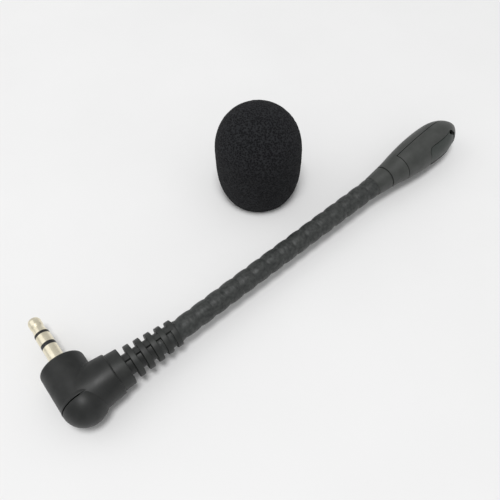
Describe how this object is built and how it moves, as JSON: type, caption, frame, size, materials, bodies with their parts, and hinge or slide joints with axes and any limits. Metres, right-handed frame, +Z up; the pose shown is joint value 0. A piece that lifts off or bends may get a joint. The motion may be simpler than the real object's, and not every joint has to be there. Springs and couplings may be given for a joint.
{
  "type": "flexible boom microphone",
  "caption": "Small plug-in flexible boom microphone with a right-angle 3.5 mm plug, ribbed bendable boom, teardrop head and a separate foam windscreen standing beside it.",
  "frame": {"origin": "on the plug's axis at the shoulder where the plug leaves the elbow", "axes": "+X along the boom from the elbow to the head, +Y out along the plug, +Z up from the table it lies on"},
  "size_m": [0.1262, 0.0436, 0.0272],
  "materials": {
    "anchor_metal": "crimped",
    "board": "circuit board",
    "boot_rubber": "matte",
    "cable_jacket": "matte",
    "capsule_aluminium": "drawn can",
    "capsule_stack": "film and backplate",
    "core_steel": "annealed wire",
    "elbow_plastic": "fine moulded satin",
    "felt": "felt",
    "foam": "open-cell foam",
    "head_plastic": "fine moulded satin",
    "insulator": "moulded, satin",
    "plug_metal": "nickel plated, satin polish",
    "port_plastic": "satin",
    "relief_rubber": "soft satin",
    "sleeve_rubber": "soft matte",
    "solder": "solder",
    "tinned_lug": "tinned",
    "wire_jacket": "matte"
  },
  "bodies": {
    "plug_body": {"boom_cable_0": "cable_jacket", "core_anchor": "anchor_metal", "core_wire_0": "core_steel", "elbow_cap": "elbow_plastic", "elbow_shell": "elbow_plastic", "elbow_wire_bias": "wire_jacket", "elbow_wire_ground": "wire_jacket", "elbow_wire_signal": "wire_jacket", "gooseneck_sleeve_0": "sleeve_rubber", "jack_ground_lug": "tinned_lug", "jack_ring_contact": "plug_metal", "jack_ring_insulator": "insulator", "jack_ring_lug": "tinned_lug", "jack_sleeve_contact": "plug_metal", "jack_terminal_insulator": "insulator", "jack_tip_contact": "plug_metal", "jack_tip_insulator": "insulator", "jack_tip_lug": "tinned_lug", "strain_relief": "relief_rubber"},
    "windscreen": {"windscreen_foam": "foam"},
    "boom_1": {"boom_cable_1": "cable_jacket", "core_wire_1": "core_steel", "gooseneck_sleeve_1": "sleeve_rubber"},
    "boom_2": {"boom_cable_2": "cable_jacket", "core_wire_2": "core_steel", "gooseneck_sleeve_2": "sleeve_rubber"},
    "boom_3": {"boom_cable_3": "cable_jacket", "core_wire_3": "core_steel", "gooseneck_sleeve_3": "sleeve_rubber"},
    "boom_4": {"boom_cable_4": "cable_jacket", "core_wire_4": "core_steel", "gooseneck_sleeve_4": "sleeve_rubber"},
    "boom_5": {"boom_cable_5": "cable_jacket", "core_wire_5": "core_steel", "gooseneck_sleeve_5": "sleeve_rubber"},
    "boom_6": {"boom_cable_6": "cable_jacket", "core_wire_6": "core_steel", "gooseneck_sleeve_6": "sleeve_rubber"},
    "head": {"boom_cable_7": "cable_jacket", "capsule_board": "board", "capsule_boot": "boot_rubber", "capsule_can": "capsule_aluminium", "capsule_diaphragm": "capsule_stack", "capsule_felt": "felt", "capsule_solder": "solder", "core_wire_7": "core_steel", "gooseneck_sleeve_7": "sleeve_rubber", "head_cover_shell": "head_plastic", "head_ferrule": "head_plastic", "head_rear_shell": "head_plastic", "head_wire_ground": "wire_jacket", "head_wire_signal": "wire_jacket", "sound_port_insert": "port_plastic"}
  },
  "joints": [
    {"name": "boom_pitch_1", "type": "hinge", "parent": "plug_body", "child": "boom_1", "pos_m": [0.03002, -0.0087, 0], "axis": [0.0495, -0.9988, 0], "range_deg": [-30, 30]},
    {"name": "boom_pitch_2", "type": "hinge", "parent": "boom_1", "child": "boom_2", "pos_m": [0.0385, -0.00828, 0], "axis": [0.0495, -0.9988, 0], "range_deg": [-30, 30]},
    {"name": "boom_pitch_3", "type": "hinge", "parent": "boom_2", "child": "boom_3", "pos_m": [0.04699, -0.00786, 0], "axis": [0.0495, -0.9988, 0], "range_deg": [-30, 30]},
    {"name": "boom_pitch_4", "type": "hinge", "parent": "boom_3", "child": "boom_4", "pos_m": [0.05548, -0.00744, 0], "axis": [0.0495, -0.9988, 0], "range_deg": [-30, 30]},
    {"name": "boom_yaw_5", "type": "hinge", "parent": "boom_4", "child": "boom_5", "pos_m": [0.06397, -0.00702, 0], "axis": [0, 0, 1], "range_deg": [-30, 30]},
    {"name": "boom_pitch_6", "type": "hinge", "parent": "boom_5", "child": "boom_6", "pos_m": [0.07246, -0.0066, 0], "axis": [0.0495, -0.9988, 0], "range_deg": [-30, 30]},
    {"name": "boom_yaw_7", "type": "hinge", "parent": "boom_6", "child": "head", "pos_m": [0.08095, -0.00617, 0], "axis": [0, 0, 1], "range_deg": [-30, 30]},
    {"name": "windscreen_lift", "type": "slide", "parent": "plug_body", "child": "windscreen", "axis": [0, 0, 1], "range_m": [0, 0.05]}
  ]
}
